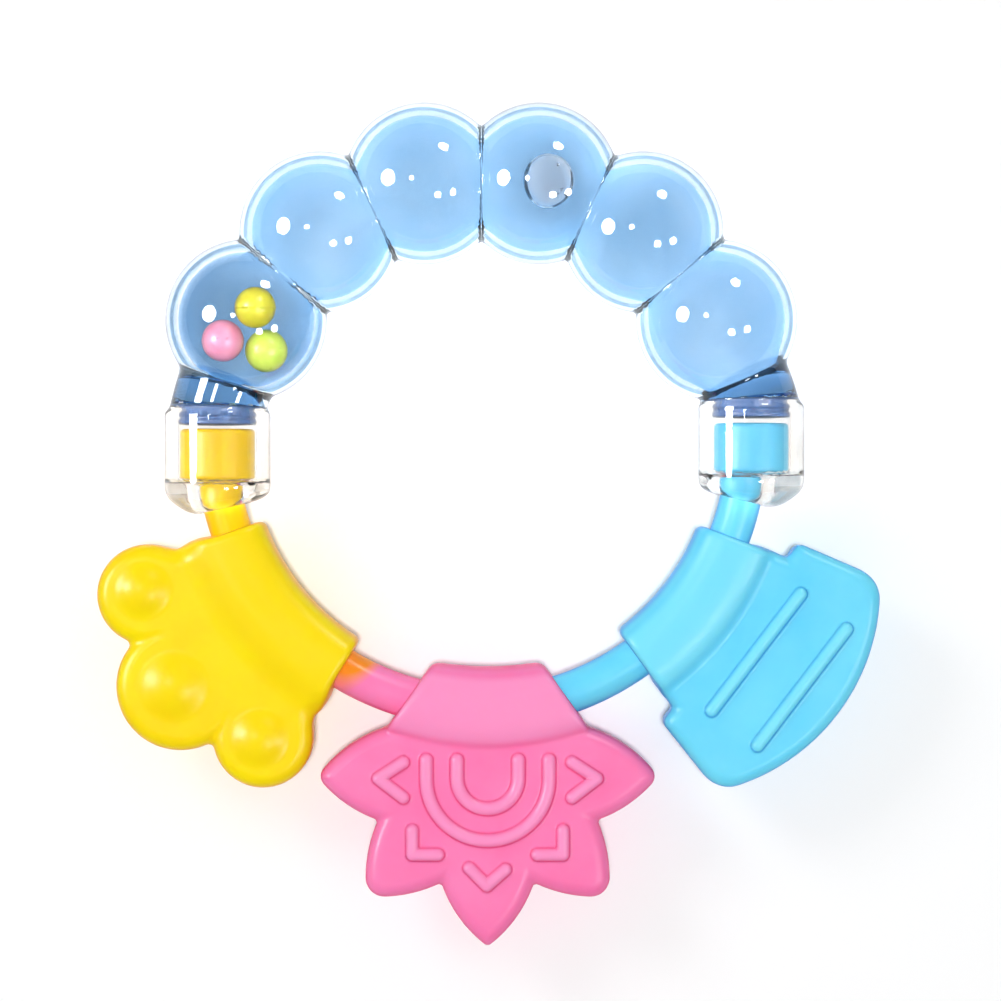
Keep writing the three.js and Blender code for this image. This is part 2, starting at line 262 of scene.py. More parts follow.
def mesh_of(distance, low, high, cell, halved=False):
    """The zero level of a distance function as points and quads.

    halved keeps only what is above the middle plane.
    """
    cell *= FINE
    axes = []
    for start, end in zip(low, high):
        first = math.floor(start / cell) - 1
        last = math.ceil(end / cell) + 2
        axes.append((np.arange(first, last) + 0.5) * cell)
    grid = np.stack(np.meshgrid(*axes, indexing="ij"), -1)
    shape = grid.shape[:3]
    whole = distance(grid.reshape(-1, 3)).reshape(shape)
    kept = np.maximum(whole, -grid[..., 2]) if halved else whole
    cells = tuple(n - 1 for n in shape)
    total = np.zeros((*cells, 3))
    count = np.zeros(cells)
    inside = kept < 0
    for axis in range(3):
        others = [a for a in range(3) if a != axis]
        for i in (0, 1):
            for j in (0, 1):
                near = [slice(None)] * 3
                near[axis] = slice(0, shape[axis] - 1)
                near[others[0]] = slice(i, i + cells[others[0]])
                near[others[1]] = slice(j, j + cells[others[1]])
                far = list(near)
                far[axis] = slice(1, shape[axis])
                near, far = tuple(near), tuple(far)
                crossed = inside[near] != inside[far]
                gap = kept[near] - kept[far]
                share = np.where(crossed, kept[near] / np.where(gap == 0, 1, gap), 0)
                place = grid[near] + share[..., None] * (grid[far] - grid[near])
                total += place * crossed[..., None]
                count += crossed
    used = count > 0
    number = np.full(cells, -1)
    number[used] = np.arange(int(used.sum()))
    points = total[used] / count[used][:, None]
    faces = []
    for axis in range(3):
        b, c = (axis + 1) % 3, (axis + 2) % 3
        near = [slice(1, n - 1) for n in shape]
        near[axis] = slice(0, shape[axis] - 1)
        far = list(near)
        far[axis] = slice(1, shape[axis])
        start, end = inside[tuple(near)], inside[tuple(far)]
        ids = []
        for db, dc in ((-1, -1), (0, -1), (0, 0), (-1, 0)):
            around = [None] * 3
            around[axis] = slice(0, cells[axis])
            around[b] = slice(1 + db, 1 + db + shape[b] - 2)
            around[c] = slice(1 + dc, 1 + dc + shape[c] - 2)
            ids.append(number[tuple(around)])
        quads = np.stack(ids, -1)
        faces.append(quads[start & ~end])
        faces.append(quads[~start & end][:, ::-1])
    faces = np.concatenate(faces)
    flat = None
    if halved:
        k = int(np.searchsorted(axes[2], 0.0)) - 1
        layer = np.zeros(cells, bool)
        layer[:, :, k] = True
        on_plane = layer[used]
        corners = [
            whole[i:cells[0] + i, j:cells[1] + j, k + h] < 0
            for i in (0, 1) for j in (0, 1) for h in (0, 1)
        ]
        mixed = np.zeros(cells, bool)
        mixed[:, :, k] = np.any(corners, 0) & ~np.all(corners, 0)
        flat = mixed[used]
        points[on_plane, 2] = 0
        moving = ~on_plane | flat
        points[moving] = settle(distance, points[moving], cell, flat=flat[moving])
    else:
        points = settle(distance, points, cell)
    return points, faces


def make_piece(name, points, faces, distance, materials, slot_of=None, mirrored=False):
    """A Blender object from points and quads. Its shading follows the distance function, not the quads."""
    normals, _ = slopes(distance, points)
    flat = (np.abs(points[faces][:, :, 2]) < 1e-9).all(1)
    if mirrored:
        points = points * (1, 1, -1)
        normals = normals * (1, 1, -1)
        faces = faces[:, ::-1]
    mesh = bpy.data.meshes.new(name)
    mesh.from_pydata(to_row(points).tolist(), [], faces.tolist())
    for material in materials:
        mesh.materials.append(material)
    if slot_of is not None:
        centres = points[faces].mean(1)
        mesh.polygons.foreach_set("material_index", slot_of(centres, flat).astype(np.int32))
    mesh.polygons.foreach_set("use_smooth", np.ones(len(faces), bool))
    corners = normals[faces]
    if slot_of is not None:
        corners[flat] = (0, 0, 1 if mirrored else -1)
    mesh.normals_split_custom_set(corners.reshape(-1, 3).tolist())
    mesh.update()
    piece = bpy.data.objects.new(name, mesh)
    bpy.context.scene.collection.objects.link(piece)
    return piece


# ------------------------------------------------------------------ handle shapes


def tilted_neck(p, bead, x, y):
    """A round bar that leans from a bead's centre to a socket, and turns upright there."""
    share = np.clip((bead[1] - p[:, 1]) / (bead[1] - y), 0, 1)
    middle = bead[0] + (x - bead[0]) * share
    lean = math.hypot(x - bead[0], bead[1] - y) / (bead[1] - y)
    across = length((p[:, 0] - middle) / (1 + (lean - 1) * (1 - share**4)), p[:, 2]) - NECK_R
    along = np.maximum(y - NECK_DEPTH - p[:, 1], p[:, 1] - bead[1])
    return np.maximum(across, along)


def socket(p, side):
    """A clear collar with a rounded foot that is square to the strap."""
    x, lift = COLUMNS[side]
    lean = math.radians(SOCKET_TILT) * (1 if side == "left" else -1)
    collar = column(p, x, SOCKET_BOTTOM - 6, SOCKET_TOP + lift, SOCKET_R, SOCKET_EDGE)
    dome = ball(p, (x, lift - 1, 0), SOCKET_DOME_R)
    dome = np.where(p[:, 1] > lift - 1, -1.0, dome)
    foot = (p[:, 0] - x) * math.sin(lean) - (p[:, 1] - SOCKET_BOTTOM - lift) * math.cos(lean)
    collar = overlap(overlap(collar, dome, 0.8), foot, 1.2)
    bead = BEADS[0] if side == "left" else BEADS[-1]
    return union(collar, tilted_neck(p, bead, x, SOCKET_TOP + lift), SOCKET_EDGE)


def outer_handle(p):
    shape = ball(p, BEADS[0], BEAD_R)
    for i in range(1, BEAD_COUNT):
        shape = union(shape, ball(p, BEADS[i], BEAD_R), CREASE)
    return union(union(shape, socket(p, "left"), CREASE), socket(p, "right"), CREASE)


def cavity(p):
    """The space that the liquid fills: the first bead by itself, then the rest, joined by a throat."""
    throat = capsule(p, BEADS[0], BEADS[1], THROAT_R)
    shape = union(ball(p, BEADS[0], CAVITY_R), throat, THROAT_SOFT)
    rest = ball(p, BEADS[1], CAVITY_R)
    for i in range(2, BEAD_COUNT):
        passage = capsule(p, BEADS[i - 1], BEADS[i], PASSAGE_R)
        rest = union(union(rest, passage, PASSAGE_SOFT), ball(p, BEADS[i], CAVITY_R), PASSAGE_SOFT)
    for side, bead, radius, soft in (
        ("left", BEADS[0], THROAT_R, THROAT_SOFT), ("right", BEADS[-1], PASSAGE_R, PASSAGE_SOFT),
    ):
        x, lift = COLUMNS[side]
        end = column(p, x, BORE_Y[1] - 3, CHAMBER_TOP + 1.0, CHAMBER_R, 1.2)
        throat = capsule(p, bead, (x, CHAMBER_TOP + lift - 2.4, 0), radius)
        end = overlap(union(end, throat, soft), BORE_Y[1] + lift - p[:, 1], 0.3)
        if side == "left":
            shape = union(shape, end, soft)
        else:
            rest = union(rest, end, soft)
    return union(shape, rest, THROAT_SOFT)


def bores(p):
    """The holes in the sockets for the strap's heads."""
    shape = np.full(len(p), 1e3)
    for side, arc in BORE_ARCS.items():
        x, lift = COLUMNS[side]
        bore = column(p, x, BORE_Y[0] + lift, BORE_Y[1] + lift, BORE_R, 0.5)
        shape = union(shape, union(bore, strap(p, *arc, STRAP_R + BORE_SLACK), 0.6))
    return shape


def shell(p):
    return cut(cut(outer_handle(p), cavity(p), 0.15), bores(p), 0.5)


BUBBLE = BEADS[3] + np.array([0.95, -0.1, 4.5])
BUBBLE_HALF = (2.75, 3.15, 1.6)
BUBBLE_REACH = 3.3


def liquid(p):
    """What fills the cavity, less one flat air bubble."""
    away = length(*((p - BUBBLE) / BUBBLE_HALF).T)
    slope = length(*((p - BUBBLE) / np.square(BUBBLE_HALF)).T)
    bubble = away * (away - 1) / np.maximum(slope, 1e-3)
    return cut(cavity(p) + 0.02, bubble)


def bulkhead(p, side):
    """A grooved disc that closes the liquid's space at one end."""
    x, lift = COLUMNS[side]
    disc = column(p, x, DISC_Y[0] + lift, DISC_Y[1] + lift, BORE_R - DISC_GAP, 0.25)
    groove = length(length(p[:, 0] - x, p[:, 2]) - BORE_R + DISC_GAP, p[:, 1] - GROOVE_Y - lift) - 0.25
    return cut(disc, groove, 0.15)


def strap_end(p, side):
    """The strap's end with its enlarged head."""
    knob = column(p, COLUMNS[side][0], *HEAD_Y[side], HEAD_R, 0.55)
    return union(knob, strap(p, *END_ARCS[side], STRAP_R), 0.9)


# ------------------------------------------------------------------ chewing shapes


def own_frame(p, angle, shift=0.0):
    """Across and outwards in a chewing shape's own frame."""
    turn = math.radians(angle)
    x, y = p[:, 0] - shift, p[:, 1]
    return -x * math.sin(turn) + y * math.cos(turn), x * math.cos(turn) + y * math.sin(turn)


def sleeve(u, v, z, apex, half_fan, inner, outer, edge=1.1):
    out = v - apex
    reach, turn = length(u, out), np.degrees(np.arctan2(np.abs(u), out))
    turn_in = np.minimum(turn, half_fan + 6)
    near, far = inner(turn_in) - apex, outer(turn_in) - apex
    tube = oval(reach - (near + far) / 2, z, (far - near) / 2, SLEEVE_HALF)
    end = reach * np.sin(np.radians(np.clip(turn - half_fan, -80, 80)))
    return overlap(tube, end, edge)


def plate(outline, z, edge):
    return rounded(outline, np.abs(z) - PLATE_HALF, edge)


def rib(u, v, z, points, radius):
    shape = None
    place = np.stack([u, v, z - PLATE_HALF - RIB_RISE], -1)
    for start, end in zip(points[:-1], points[1:]):
        bar = capsule(place, (*start, 0), (*end, 0), radius)
        shape = bar if shape is None else union(shape, bar)
    return shape


def arch(u, v, z, half_width, top, bottom, radius):
    """A smile-shaped rib: two arms joined by a half circle."""
    middle = bottom - half_width
    arms = length(np.abs(u) - half_width, np.clip(top - v, 0, None))
    bow = length(u, v - middle) - half_width
    across = np.where(v < middle, arms, np.abs(bow))
    return length(across, z - PLATE_HALF - RIB_RISE) - radius


def gripped(p, shape):
    """A chewing shape with the holes in its sleeve's ends that the strap runs into."""
    holes = strap(p, *GRIP_ARCS[0], STRAP_R + GRIP_SLACK)
    for arc in GRIP_ARCS[1:]:
        holes = union(holes, strap(p, *arc, STRAP_R + GRIP_SLACK))
    return cut(shape, holes, 0.2)


def flower(p):
    """Three round petals, each with a low bump."""
    u, v = own_frame(p, 219)
    z = p[:, 2]
    outline = length(u, v - 52.6) - 8.73
    for side in (-1, 1):
        outline = union(outline, length(u - side * 12.5, v - 48.3) - 6.8, 1.2)
    web = rounded(np.abs(u) - 13.0 - 0.3 * (v - 37.5), np.abs(v - 44) - 6.6, 1.0)
    outline = union(outline, web, 2.2)
    shape = plate(outline, z, 2.0)
    for x, y, radius in ((-13.3, 48.3, 3.4), (-0.5, 53.2, 4.1), (12.3, 48.7, 3.5)):
        size = (radius**2 + BUMP_RISE**2) / (2 * BUMP_RISE)
        bump = length(u - x, v - y, z - (PLATE_HALF + BUMP_RISE - size)) - size
        bump = np.maximum(bump, PLATE_HALF - 0.8 - z)
        shape = union(shape, bump, 0.6)
    tube = sleeve(u, v, z, 0, 19.4, lambda t: 31.4 + 0 * t, lambda t: 41.9 + 0 * t)
    return gripped(p, union(shape, tube, 3.0))


def petal(u, v, tip, turn, blunt):
    """A pointed oval with a blunt end at tip that points along turn, in degrees."""
    way = math.radians(turn)
    half_length, half_width = 14.0 - blunt, 7.2 - blunt
    size = (half_length**2 + half_width**2) / (2 * half_width)
    deep = size - half_width
    x, y = u - tip[0], v - tip[1]
    along = np.abs(x * math.cos(way) + y * math.sin(way) + half_length + blunt)
    across = np.abs(-x * math.sin(way) + y * math.cos(way))
    past = (along - half_length) * deep > across * half_length
    return np.where(past, length(along - half_length, across), length(along, across + deep) - size) - blunt


def lotus(p):
    """Five pointed petals with two arches, two hooks, two corners and a chevron."""
    u, v = own_frame(p, 270, LOTUS_SHIFT)
    z = p[:, 2]
    outline = petal(u, v, (0, 68.3), 90, 0.8)
    for side in (-1, 1):
        for tip, turn, blunt in (((15.8, 61.0), 46, 2.6), ((22.7, 45.4), 1, 1.6)):
            way = turn if side > 0 else 180 - turn
            outline = union(outline, petal(u, v, (side * tip[0], tip[1]), way, blunt), 0.6)
    outline = union(outline, length(u, v - 47) - 12, 1.0)
    shape = plate(outline, z, 2.0)
    shape = union(shape, arch(u, v, z, 8.3, 43.0, 53.9, ARCH_R), RIB_SOFT)
    shape = union(shape, arch(u, v, z, 4.15, 43.0, 49.6, ARCH_R), RIB_SOFT)
    shape = union(shape, rib(u, v, z, [(-2.5, 57.6), (-0.1, 60.0), (2.4, 57.8)], RIB_R), RIB_SOFT)
    for side in (-1, 1):
        hook = [(side * 11.4, 43.3), (side * 14.8, 45.5), (side * 11.4, 48.1)]
        corner = [(side * 10.2, 52.5), (side * 10.2, 55.8), (side * 6.7, 55.8)]
        shape = union(shape, rib(u, v, z, hook, RIB_R), RIB_SOFT)
        shape = union(shape, rib(u, v, z, corner, RIB_R), RIB_SOFT)
    tube = sleeve(
        u, v, z, 19.5, 35.5,
        lambda t: 19.5 + (11.0 - 0.6 * (t / 35.5) ** 2) / np.cos(np.radians(t)),
        lambda t: 42.3 + 1.9 * (t / 35.5) ** 2,
    )
    return gripped(p, union(shape, tube, 0.35))


def leaf(p):
    """A tapered plate with a round rim and two straight ribs."""
    u, v = own_frame(p, -37.4)
    z = p[:, 2]
    rim = length(u, v - 32.6) - 28.27
    sides = (np.abs(u) - 15.4) * 0.969 - (v - 42.9) * 0.245
    outline = overlap(overlap(rim, sides, 3.0), 42.5 - v, 1.0)
    root = rounded(np.abs(u) - 12.1 - 0.3 * (v - 40), np.abs(v - 44) - 6.2, 0.6)
    outline = union(outline, root, 0.6)
    shape = plate(outline, z, 1.7)
    for height in (46.8, 54.6):
        shape = union(shape, rib(u, v, z, [(-9.9, height), (9.9, height)], LEAF_RIB_R), RIB_SOFT)
    tube = sleeve(u, v, z, 0, 16.7, lambda t: 31.5 + 0 * t, lambda t: 42.9 + 0 * t)
    return gripped(p, union(shape, tube, 0.6))


# ------------------------------------------------------------------ materials


class Nodes:
    """Short names for building one material's node tree."""

    def __init__(self, name):
        self.material = bpy.data.materials.new(name)
        self.material.use_nodes = True
        self.tree = self.material.node_tree
        self.tree.nodes.clear()
        self.output = self.add("ShaderNodeOutputMaterial")

    def add(self, kind, **values):
        node = self.tree.nodes.new(kind)
        for key, value in values.items():
            if hasattr(node, key):
                setattr(node, key, value)
            else:
                node.inputs[key.replace("_", " ")].default_value = value
        return node

    def join(self, source, target):
        self.tree.links.new(source, target)

    def place(self, scale):
        """Object coordinates in units of scale metres."""
        where = self.add("ShaderNodeTexCoord")
        mapping = self.add("ShaderNodeMapping")
        mapping.inputs["Scale"].default_value = (1 / scale,) * 3
        self.join(where.outputs["Object"], mapping.inputs["Vector"])
        return mapping.outputs["Vector"]

    def noise(self, scale, detail=3.0):
        noise = self.add("ShaderNodeTexNoise", Detail=detail)
        noise.inputs["Scale"].default_value = 1.0
        self.join(self.place(scale), noise.inputs["Vector"])
        return noise.outputs["Fac"]

    def ramp(self, source, start, end, low=0.0, high=1.0, kind="LINEAR"):
        """low where source is at start, high where it is at end."""
        spread = self.add("ShaderNodeMapRange", interpolation_type=kind)
        for name, value in (("From Min", start), ("From Max", end), ("To Min", low), ("To Max", high)):
            spread.inputs[name].default_value = value
        self.join(source, spread.inputs["Value"])
        return spread.outputs["Result"]

    def height(self):
        """Height in the row frame, in metres."""
        where = self.add("ShaderNodeTexCoord")
        parts = self.add("ShaderNodeSeparateXYZ")
        self.join(where.outputs["Object"], parts.inputs[0])
        return parts.outputs["Z"]

    def near(self, point, radius, soft=0.15):
        """1 within radius millimetres of a point, 0 further away."""
        where = self.add("ShaderNodeTexCoord")
        away = self.add("ShaderNodeVectorMath", operation="DISTANCE")
        away.inputs[1].default_value = tuple(to_row(point))
        self.join(where.outputs["Object"], away.inputs[0])
        return self.ramp(away.outputs["Value"], (radius + soft) * MM, (radius - soft) * MM)

    def raised(self, low, high):
        """0 up to one distance from the middle plane, 1 past another, in millimetres. Both sides alike."""
        over = self.add("ShaderNodeMath", operation="SUBTRACT")
        over.inputs[1].default_value = float(CENTRE[2])
        self.join(self.height(), over.inputs[0])
        away = self.add("ShaderNodeMath", operation="ABSOLUTE")
        self.join(over.outputs[0], away.inputs[0])
        return self.ramp(away.outputs[0], low * MM, high * MM, kind="SMOOTHSTEP")

    def behind(self, soft):
        """0 in front of the middle plane, 1 behind it, over soft millimetres each way."""
        middle = float(CENTRE[2])
        return self.ramp(self.height(), middle + soft * MM, middle - soft * MM)

    def span(self, source, low, high):
        """Stretches the middle of a noise, from 0.3 to 0.7, over low to high."""
        return self.ramp(source, 0.3, 0.7, low, high)

    def blend(self, share, low, high):
        """From one colour to another. Each is three numbers or a socket."""
        mix = self.add("ShaderNodeMix", data_type="RGBA")
        self.join(share, mix.inputs["Factor"])
        for socket, colour in ((mix.inputs[6], low), (mix.inputs[7], high)):
            if isinstance(colour, bpy.types.NodeSocket):
                self.join(colour, socket)
            else:
                socket.default_value = (*colour, 1)
        return mix.outputs[2]

    def facing(self, low, high):
        """0 where a surface faces the viewer, 1 where it is seen edge on."""
        weight = self.add("ShaderNodeLayerWeight")
        weight.inputs["Blend"].default_value = 0.5
        return self.ramp(weight.outputs["Facing"], low, high, kind="SMOOTHSTEP")

    def bump(self, source, height):
        """A fine surface relief, height metres deep."""
        bump = self.add("ShaderNodeBump")
        bump.inputs["Strength"].default_value = 1.0
        bump.inputs["Distance"].default_value = height
        self.join(source, bump.inputs["Height"])
        return bump.outputs["Normal"]


def linear(red, green, blue):
    """A colour given as 0 to 255, as light."""
    parts = []
    for value in (red, green, blue):
        share = value / 255
        parts.append(share / 12.92 if share <= 0.04045 else ((share + 0.055) / 1.055) ** 2.4)
    return tuple(parts)


def rubber(name, light, deep, edge, high=None, colour_spot_and_painted_shade=None):
    """Soft rubber. It is paler where it stands proud, a painted highlight, and darker where it is seen edge
    on, a painted shade. A spot of another colour can lie near one point.
    """
    n = Nodes(name)
    shader = n.add("ShaderNodeBsdfPrincipled")
    shade = n.blend(n.span(n.noise(0.009), 0.0, 1.0), light, deep)
    # Painted highlight: proud ribs, bumps and sleeve tops take the paler high colour.
    if high is not None:
        shade = n.blend(n.raised(PLATE_HALF + 0.2, PLATE_HALF + 1.0), shade, high)
    # Painted shade: the edge colour darkens the rubber where it is seen edge on.
    shade = n.blend(n.facing(0.36, 0.9), shade, edge)
    # A spot of another colour near one point. On the strap heads it is painted shade.
    if colour_spot_and_painted_shade is not None:
        colour, point, radius = colour_spot_and_painted_shade
        shade = n.blend(n.near(point, radius, 0.7), shade, colour)
    n.join(shade, shader.inputs["Base Color"])
    n.join(n.span(n.noise(0.0021, 5.0), 0.28, 0.38), shader.inputs["Roughness"])
    shader.inputs["Specular IOR Level"].default_value = 0.26
    shader.inputs["Subsurface Weight"].default_value = 0.35
    shader.inputs["Subsurface Radius"].default_value = (1.0, 0.75, 0.6)
    shader.inputs["Subsurface Scale"].default_value = 0.0015
    shader.inputs["IOR"].default_value = 1.43
    n.join(n.bump(n.noise(0.0007, 2.0), 0.00001), shader.inputs["Normal"])
    n.join(shader.outputs[0], n.output.inputs["Surface"])
    return n.material


def clear_plastic(n, index, light, deep, edge, edge_from, rough, cloud):
    """Glass that lets lamps through. It takes the edge colour where it is seen edge on, a painted shade that
    darkens its outlines.
    """
    glass = n.add("ShaderNodeBsdfGlass")
    if isinstance(index, bpy.types.NodeSocket):
        n.join(index, glass.inputs["IOR"])
    else:
        glass.inputs["IOR"].default_value = index
    body = n.blend(n.span(n.noise(cloud), 0.0, 1.0), light, deep)
    # Painted shade: the edge colour darkens the glass where it is seen edge on.
    n.join(n.blend(n.facing(*edge_from), body, edge), glass.inputs["Color"])
    n.join(n.span(n.noise(0.004), 0.0, rough), glass.inputs["Roughness"])
    passing = n.add("ShaderNodeBsdfTransparent")
    n.join(body, passing.inputs["Color"])
    path = n.add("ShaderNodeLightPath")
    mix = n.add("ShaderNodeMixShader")
    n.join(path.outputs["Is Shadow Ray"], mix.inputs["Fac"])
    n.join(glass.outputs[0], mix.inputs[1])
    n.join(passing.outputs[0], mix.inputs[2])
    n.join(mix.outputs[0], n.output.inputs["Surface"])
    return n.material


def nothing(name):
    """Where two clear pieces touch, light runs straight through."""
    n = Nodes(name)
    n.join(n.add("ShaderNodeBsdfTransparent").outputs[0], n.output.inputs["Surface"])
    return n.material


def tinted_liquid(name):
    """Bends light as water against plastic, and as water against air around the bubble.

    The blue is partly in the surface and partly in the volume. In the first bead it is darker and greyer,
    partly the liquid's blue and partly painted shade of the rattle balls. There the rear surface holds most
    of it, so the balls in front stay bright. The end chambers are painted a darker blue as shade, and the
    edge colour is painted shade where the liquid is seen edge on.
    """
    n = Nodes(name)
    bubble = n.near(BUBBLE, BUBBLE_REACH)
    bead = n.near(BEADS[0], 7.6)
    # The liquid's blue with painted shade of the rattle balls: darker, greyer blue on the first bead's rear
    # surface.
    rattle_light = n.blend(n.behind(1.0), (0.94, 0.955, 0.97), (0.36, 0.58, 0.82))
    rattle_deep = n.blend(n.behind(1.0), (0.90, 0.925, 0.95), (0.28, 0.51, 0.77))
    light = n.blend(bead, (0.70, 0.85, 0.985), rattle_light)
    deep = n.blend(bead, (0.62, 0.81, 0.975), rattle_deep)
    # Painted shade: darker blue in the end chambers above the bulkheads.
    for x, lift in COLUMNS.values():
        shaded_chamber = n.near((x, 6.3 + lift, 0), 5.8)
        light = n.blend(shaded_chamber, light, (0.49, 0.70, 0.90))
        deep = n.blend(shaded_chamber, deep, (0.40, 0.63, 0.86))
    light = n.blend(bubble, light, (0.98, 0.96, 0.96))
    deep = n.blend(bubble, deep, (0.96, 0.93, 0.94))
    index = n.ramp(bubble, 0.0, 1.0, WATER_INDEX / PLASTIC_INDEX, WATER_INDEX)
    # The edge colour, a deeper blue where the liquid is seen edge on, is painted shade.
    clear_plastic(n, index, light, deep, (0.36, 0.66, 0.95), (0.5, 1.0), 0.01, 0.006)
    volume = n.add("ShaderNodeVolumeAbsorption", Density=100.0)
    volume.inputs["Color"].default_value = (0.645, 0.60, 0.565, 1)
    n.join(volume.outputs[0], n.output.inputs["Volume"])
    return n.material


def hard_plastic(name, light, deep):
    """Opaque moulded plastic, darker where it is seen edge on, a painted shade."""
    n = Nodes(name)
    shader = n.add("ShaderNodeBsdfPrincipled")
    shade = n.blend(n.span(n.noise(0.0016), 0.0, 1.0), light, deep)
    # Painted shade: a darker edge colour where the plastic is seen edge on.
    edge = tuple(0.6 * part for part in deep)
    n.join(n.blend(n.facing(0.4, 1.0), shade, edge), shader.inputs["Base Color"])
    n.join(n.span(n.noise(0.0008, 4.0), 0.25, 0.4), shader.inputs["Roughness"])
    shader.inputs["Subsurface Weight"].default_value = 0.15
    shader.inputs["Subsurface Scale"].default_value = 0.0008
    n.join(n.bump(n.noise(0.0004, 2.0), 0.000006), shader.inputs["Normal"])
    n.join(shader.outputs[0], n.output.inputs["Surface"])
    return n.material


# Each rubber: a light and a deep tone, an edge colour that is painted shade, and a paler colour on proud
# parts that is painted highlight.
YELLOW = rubber(
    "yellow_rubber", linear(255, 228, 0), linear(255, 218, 0), linear(255, 178, 0), linear(255, 222, 6)
)
PINK = rubber(
    "pink_rubber", linear(254, 133, 187), linear(253, 121, 178), linear(248, 52, 130), linear(255, 148, 198)
)
SKY = rubber(
    "sky_rubber", linear(116, 221, 252), linear(100, 213, 251), linear(36, 164, 246), linear(124, 226, 254)
)
# Its edge colour is painted shade on the outlines.
CLEAR = clear_plastic(
    Nodes("clear_plastic"), PLASTIC_INDEX,
    (1, 1, 1), (1.0, 0.985, 0.965), (0.60, 0.51, 0.55), (0.76, 1.0), 0.015, 0.012,
)
# On both strap ends the spot is painted shade: a darker colour on the head inside the clear socket.
HEAD_YELLOW = rubber(
    "yellow_strap_rubber", linear(252, 210, 0), linear(249, 202, 0), linear(240, 168, 0),
    colour_spot_and_painted_shade=(linear(176, 146, 0), (COLUMNS["left"][0], -1.7, 0), 6.6),
)
HEAD_SKY = rubber(
    "sky_strap_rubber", linear(122, 222, 252), linear(108, 214, 251), linear(40, 154, 236),
    colour_spot_and_painted_shade=(linear(70, 147, 178), (COLUMNS["right"][0], -0.8, 0), 6.6),
)
LINK_PINK = rubber(
    "pink_strap_rubber", linear(254, 136, 190), linear(254, 128, 184), linear(250, 70, 140),
    colour_spot_and_painted_shade=(linear(255, 150, 30), on_ring(238.3, 34.6), 4.1),
)
WETTED = nothing("wetted_wall")
WELD = nothing("weld_face")
LIQUID = tinted_liquid("blue_liquid")
SMOKE = hard_plastic("bulkhead_plastic", linear(66, 96, 142), linear(48, 74, 118))
BALL_COLOURS = {
    "yellow": hard_plastic("yellow_ball_plastic", linear(214, 208, 50), linear(200, 190, 38)),
    "pink": hard_plastic("pink_ball_plastic", linear(234, 158, 188), linear(228, 140, 172)),
    "green": hard_plastic("green_ball_plastic", linear(215, 236, 102), linear(198, 222, 80)),
}

# ------------------------------------------------------------------ pieces


WALL_REACH = 0.12


def shell_slot(mirrored):
    """The shell's slots: 0 in the open, 1 against the liquid, 2 on the weld."""

    def slot_of(centres, flat):
        points = centres * (1, 1, -1) if mirrored else centres
        wet = np.abs(cavity(points)) < WALL_REACH
        wet &= np.abs(bores(points)) > WALL_REACH
        return np.where(flat, 2, np.where(wet, 1, 0))

    return slot_of


def build(name, node, shape, low, high, cell, material):
    """Meshes a shape within a box and has it stand in for its CAD node."""
    points, faces = mesh_of(shape, low, high, cell)
    piece = make_piece(name, points, faces, shape, [material])
    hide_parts(node)
    return piece


points, faces = mesh_of(shell, (-44, -10, 0), (44, 47, 11), SHELL_CELL, halved=True)
for name, node, mirrored in (("clear_front", "front_shell", False), ("clear_rear", "rear_shell", True)):
    piece = make_piece(name, points, faces, shell, [CLEAR, WETTED, WELD], shell_slot(mirrored), mirrored)
    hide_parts(node)
    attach(piece, "handle")

piece = build("liquid", "blue_water", liquid, (-44, 4, -7), (44, 43, 7), LIQUID_CELL, LIQUID)
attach(piece, "handle")

for side, (x, lift) in COLUMNS.items():
    def disc(p, side=side):
        return bulkhead(p, side)

    low, high = (x - 6, 2 + lift, -6), (x + 6, 5.2 + lift, 6)
    piece = build(side + "_disc", side + "_bulkhead", disc, low, high, DISC_CELL, SMOKE)
    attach(piece, "handle")

for colour, (x, y) in RATTLES.items():
    reach = CAVITY_R - RATTLE_R - RATTLE_GAP
    centre = BEADS[0] + np.array([x, y, math.sqrt(reach**2 - x**2 - y**2)])

    def rattle(p, centre=centre):
        seam = length(length(p[:, 0] - centre[0], p[:, 2] - centre[2]) - RATTLE_R, p[:, 1] - centre[1]) - 0.05
        return union(ball(p, centre, RATTLE_R), seam, 0.05)

    piece = build(
        colour + "_rattle_ball", colour + "_ball",
        rattle, centre - 2.5, centre + 2.5, RATTLE_CELL, BALL_COLOURS[colour],
    )
    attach(piece, colour + "_rattle")

for side, name, slot, material in (
    ("left", "yellow_strap_end", "yellow_rubber", HEAD_YELLOW),
    ("right", "blue_strap_end", "sky_rubber", HEAD_SKY),
):
    def end(p, side=side):
        return strap_end(p, side)

    x, mouth = COLUMNS[side][0], MOUTH_Y[side]
    piece = build(name, side + "_neck", end, (x - 7, -17, -6), (x + 7, 3.5, 6), END_CELL, material)
    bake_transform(piece)

for name, node, slot, arc, low, high, material in (
    ("pink_strap", "pink_link", "pink_rubber", PINK_ARC, (-25, -40, -4), (-3, -26, 4), LINK_PINK),
    ("blue_strap", "blue_link", "sky_rubber", BLUE_ARC, (4, -40, -4), (27, -24, 4), SKY),
):
    def link(p, arc=arc):
        return strap(p, *arc, STRAP_R)

    piece = build(name, node, link, low, high, STRAP_CELL, material)
    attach(piece, "strap")

for name, node, body, slot, shape, low, high, material in (
    ("flower_teether", "yellow_teether", "yellow_flower", "yellow_rubber",
     flower, (-53, -48, -6), (-15, -9, 6), YELLOW),
    ("lotus_teether", "pink_teether", "pink_lotus", "pink_rubber",
     lotus, (-23, -70, -6), (25, -28, 6), PINK),
    ("leaf_teether", "blue_teether", "blue_leaf", "sky_rubber",
     leaf, (17, -48, -6), (55, -10, 6), SKY),
):
    piece = build(name, node, shape, low, high, CHEW_CELL, material)
    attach(piece, body)

# ------------------------------------------------------------------ floor, lights and camera


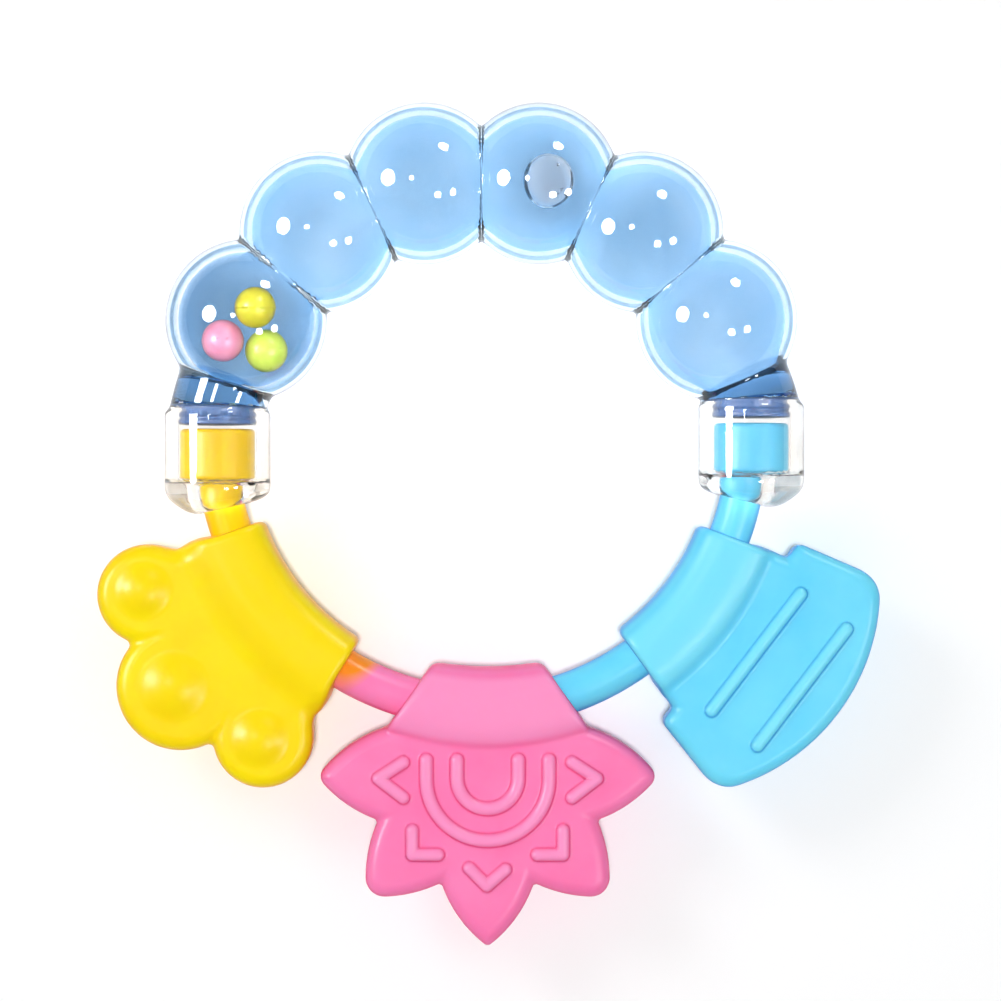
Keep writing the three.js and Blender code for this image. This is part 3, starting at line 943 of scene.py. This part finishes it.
FLOOR_HALF = 3.0
HORIZON = (0.36, 0.32, 0.35, 1)
WORLD_STRENGTH = 0.31
LAMPS = (
    # name, place, size, watts, whether it is a glint
    ("front", (0.0, 0.0, 0.98), 0.08, 6.0, False),
    ("side", (-0.48, 0.40, 0.50), 0.30, 1.1, False),
    ("glint_key", (-0.55, 0.10, 0.45), 0.26, 6.5, True),
    ("glint_high", (0.28, 0.55, 0.38), 0.15, 2.4, True),
    ("glint_low", (0.233, -0.193, 0.62), 0.12, 1.5, True),
    ("glint_right", (0.455, -0.13, 0.49), 0.12, 1.5, True),
    ("glint_left", (-0.26, 0.09, 0.88), 0.11, 1.3, True),
)
LENS = 120
SENSOR = 36
VIEW_WIDTH = 136.5
AIM = (2.6, -7.9, 0)


def backdrop():
    """A plain pale floor under the ring."""
    n = Nodes("pale_floor")
    shader = n.add("ShaderNodeBsdfPrincipled", Roughness=0.8)
    n.join(n.blend(n.noise(0.05), (0.98, 0.98, 0.98), (0.99, 0.99, 0.99)), shader.inputs["Base Color"])
    shader.inputs["Specular IOR Level"].default_value = 0.1
    n.join(shader.outputs[0], n.output.inputs["Surface"])
    mesh = bpy.data.meshes.new("floor")
    corners = [(x * FLOOR_HALF, y * FLOOR_HALF, 0) for x, y in ((-1, -1), (1, -1), (1, 1), (-1, 1))]
    mesh.from_pydata(corners, [], [(0, 1, 2, 3)])
    mesh.materials.append(n.material)
    floor = bpy.data.objects.new("floor", mesh)
    bpy.context.scene.collection.objects.link(floor)
    floor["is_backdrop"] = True


def lamp(name, place, size, power, glint):
    """A round soft lamp. A glint only shows as a reflection. The others only light."""
    light = bpy.data.lights.new(name, "AREA")
    light.shape = "DISK"
    light.size = size
    light.energy = power
    holder = bpy.data.objects.new(name, light)
    holder.location = place
    holder.visible_transmission = False
    holder.visible_diffuse = not glint
    holder.visible_glossy = glint
    holder.rotation_mode = "QUATERNION"
    holder.rotation_quaternion = (Vector((0, 0, 0)) - Vector(place)).to_track_quat("-Z", "Y")
    bpy.context.scene.collection.objects.link(holder)


def surroundings():
    """Pale light from all round, dimmer towards the horizon."""
    world = bpy.data.worlds.new("studio")
    bpy.context.scene.world = world
    world.use_nodes = True
    tree = world.node_tree
    sky = tree.nodes["Background"]
    where = tree.nodes.new("ShaderNodeTexCoord")
    parts = tree.nodes.new("ShaderNodeSeparateXYZ")
    ramp = tree.nodes.new("ShaderNodeValToRGB")
    tree.links.new(where.outputs["Generated"], parts.inputs[0])
    tree.links.new(parts.outputs["Z"], ramp.inputs[0])
    tree.links.new(ramp.outputs[0], sky.inputs["Color"])
    ramp.color_ramp.elements[0].position = 0.0
    ramp.color_ramp.elements[0].color = HORIZON
    ramp.color_ramp.elements[1].position = 0.35
    ramp.color_ramp.elements[1].color = (1, 1, 1, 1)
    sky.inputs["Strength"].default_value = WORLD_STRENGTH


backdrop()
surroundings()
for settings in LAMPS:
    lamp(*settings)

camera = bpy.data.cameras.new("camera")
camera.lens = LENS
camera.sensor_width = SENSOR
camera_holder = bpy.data.objects.new("camera", camera)
bpy.context.scene.collection.objects.link(camera_holder)
camera_holder.location = to_row(AIM) + np.array([0, 0, VIEW_WIDTH * MM / SENSOR * LENS])
bpy.context.scene.camera = camera_holder
bpy.context.scene.view_settings.view_transform = "Standard"

low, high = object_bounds()
